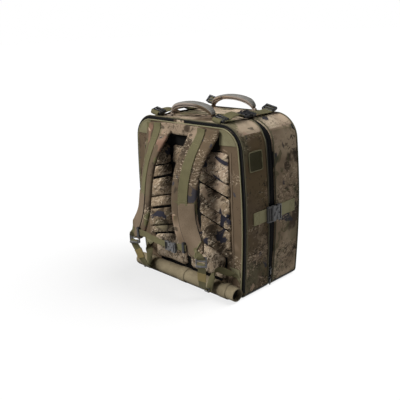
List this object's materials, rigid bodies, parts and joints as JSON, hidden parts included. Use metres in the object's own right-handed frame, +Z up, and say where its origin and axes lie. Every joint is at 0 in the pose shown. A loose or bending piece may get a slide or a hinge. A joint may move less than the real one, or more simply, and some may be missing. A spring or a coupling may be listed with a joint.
{
  "type": "tackle backpack",
  "caption": "Boxy two-bag fishing backpack with a zipped back panel, padded harness, carry handles, buckled bridging straps and a lumbar roll",
  "frame": {"origin": "on the ground under the middle of the rear bag", "axes": "+Z up, +X to the right seen from the harness side, harness towards -Y, front bag towards +Y"},
  "size_m": [0.5088, 0.3987, 0.5829],
  "materials": {
    "camo_fabric": "woven polyester with a brown and slate camouflage print",
    "inner_lining": "plain dark lining on foam board",
    "base_rubber": "black coated base, matte",
    "board": "plain extruded board",
    "piping": "olive corded piping",
    "zip": "black coil zip on woven tape",
    "patch": "bare moulded olive patch",
    "webbing": "olive ribbed webbing",
    "buckle_plastic": "moulded dark grey acetal",
    "grip_mesh": "grey ribbed mesh on foam",
    "pad_mesh": "camouflage air mesh on foam",
    "plain_olive": "plain olive woven polyester",
    "roll_fabric": "plain brown olive woven polyester",
    "foam": "dark closed cell foam",
    "zip_metal": "black painted die casting"
  },
  "bodies": {
    "rear_case": {"rear_gusset": "camo_fabric", "rear_divider": "inner_lining", "rear_base_cover": "base_rubber", "rear_base_board": "board", "rear_back_piping": "piping", "rear_mid_piping": "piping", "back_zip_case_tape": "zip", "mid_zip_rear_tape": "zip", "side_patch": "patch", "rear_bridge_straps": "webbing", "rear_plugs": "buckle_plastic", "rear_top_adjusters": "buckle_plastic", "rear_handle_anchors": "webbing"},
    "rear_handle": {"rear_handle_webbing": "webbing", "rear_handle_grip": "grip_mesh"},
    "back_panel": {"back_frame_sheet": "board", "back_panel_cover": "pad_mesh", "back_zip_door_tape": "zip", "back_pads_left": "pad_mesh", "back_pads_right": "pad_mesh", "back_pads_middle": "pad_mesh", "lumbar_pads": "pad_mesh", "shoulder_yoke": "camo_fabric", "shoulder_strap_left": "camo_fabric", "shoulder_strap_right": "camo_fabric", "strap_facing_left": "webbing", "strap_facing_right": "webbing", "ladder_lock_left": "buckle_plastic", "ladder_lock_right": "buckle_plastic", "lower_webbing_left": "webbing", "lower_webbing_right": "webbing", "corner_tabs": "plain_olive", "chest_loops": "buckle_plastic", "chest_strap_right": "webbing", "chest_socket": "buckle_plastic", "lumbar_roll_sleeve": "roll_fabric", "lumbar_roll_core": "foam", "roll_keepers": "roll_fabric"},
    "chest_plug_end": {"chest_strap_left": "webbing", "chest_plug": "buckle_plastic"},
    "front_bag": {"front_gusset": "camo_fabric", "front_rear_wall": "inner_lining", "front_base_cover": "base_rubber", "front_base_board": "board", "front_mid_piping": "piping", "front_edge_piping": "piping", "mid_zip_front_tape": "zip", "front_bridge_straps": "webbing", "front_sockets": "buckle_plastic", "front_top_adjusters": "buckle_plastic", "front_handle_anchors": "webbing", "front_zip_case_tape": "zip"},
    "front_handle": {"front_handle_webbing": "webbing", "front_handle_grip": "grip_mesh"},
    "front_lid": {"front_lid": "camo_fabric", "front_zip_lid_tape": "zip"},
    "slider_upper": {"mid_slider_upper": "zip_metal"},
    "pull_upper": {"mid_pull_upper": "zip_metal"},
    "slider_lower": {"mid_slider_lower": "zip_metal"},
    "pull_lower": {"mid_pull_lower": "zip_metal"}
  },
  "joints": [
    {"name": "front_bag_parting", "type": "slide", "parent": "rear_case", "child": "front_bag", "axis": [0, 1, 0], "range_m": [0, 0.12]},
    {"name": "back_panel_hinge", "type": "hinge", "parent": "rear_case", "child": "back_panel", "pos_m": [0, -0.056, 0.0092], "axis": [1, 0, 0], "range_deg": [0, 60]},
    {"name": "front_lid_hinge", "type": "hinge", "parent": "front_bag", "child": "front_lid", "pos_m": [0, 0.199, 0.0092], "axis": [-1, 0, 0], "range_deg": [0, 80]},
    {"name": "rear_handle_swing", "type": "hinge", "parent": "rear_case", "child": "rear_handle", "pos_m": [0, -0.019, 0.5377], "axis": [1, 0, 0], "range_deg": [-70, 60]},
    {"name": "front_handle_swing", "type": "hinge", "parent": "front_bag", "child": "front_handle", "pos_m": [0, 0.166, 0.5377], "axis": [1, 0, 0], "range_deg": [-60, 70]},
    {"name": "chest_buckle_release", "type": "slide", "parent": "back_panel", "child": "chest_plug_end", "axis": [-1, 0, 0], "range_m": [0, 0.03]},
    {"name": "upper_slider_run", "type": "slide", "parent": "rear_case", "child": "slider_upper", "axis": [0.0643, 0, 0.9979], "range_m": [0, 0.1]},
    {"name": "upper_pull_swing", "type": "hinge", "parent": "slider_upper", "child": "pull_upper", "pos_m": [0.23388, 0.064, 0.06195], "axis": [0, -1, 0], "range_deg": [0, 100]},
    {"name": "lower_slider_run", "type": "slide", "parent": "rear_case", "child": "slider_lower", "axis": [0.0643, 0, 0.9979], "range_m": [0, 0.01]},
    {"name": "lower_pull_swing", "type": "hinge", "parent": "slider_lower", "child": "pull_lower", "pos_m": [0.231, 0.064, 0.02594], "axis": [0, -1, 0], "range_deg": [0, 100]}
  ]
}
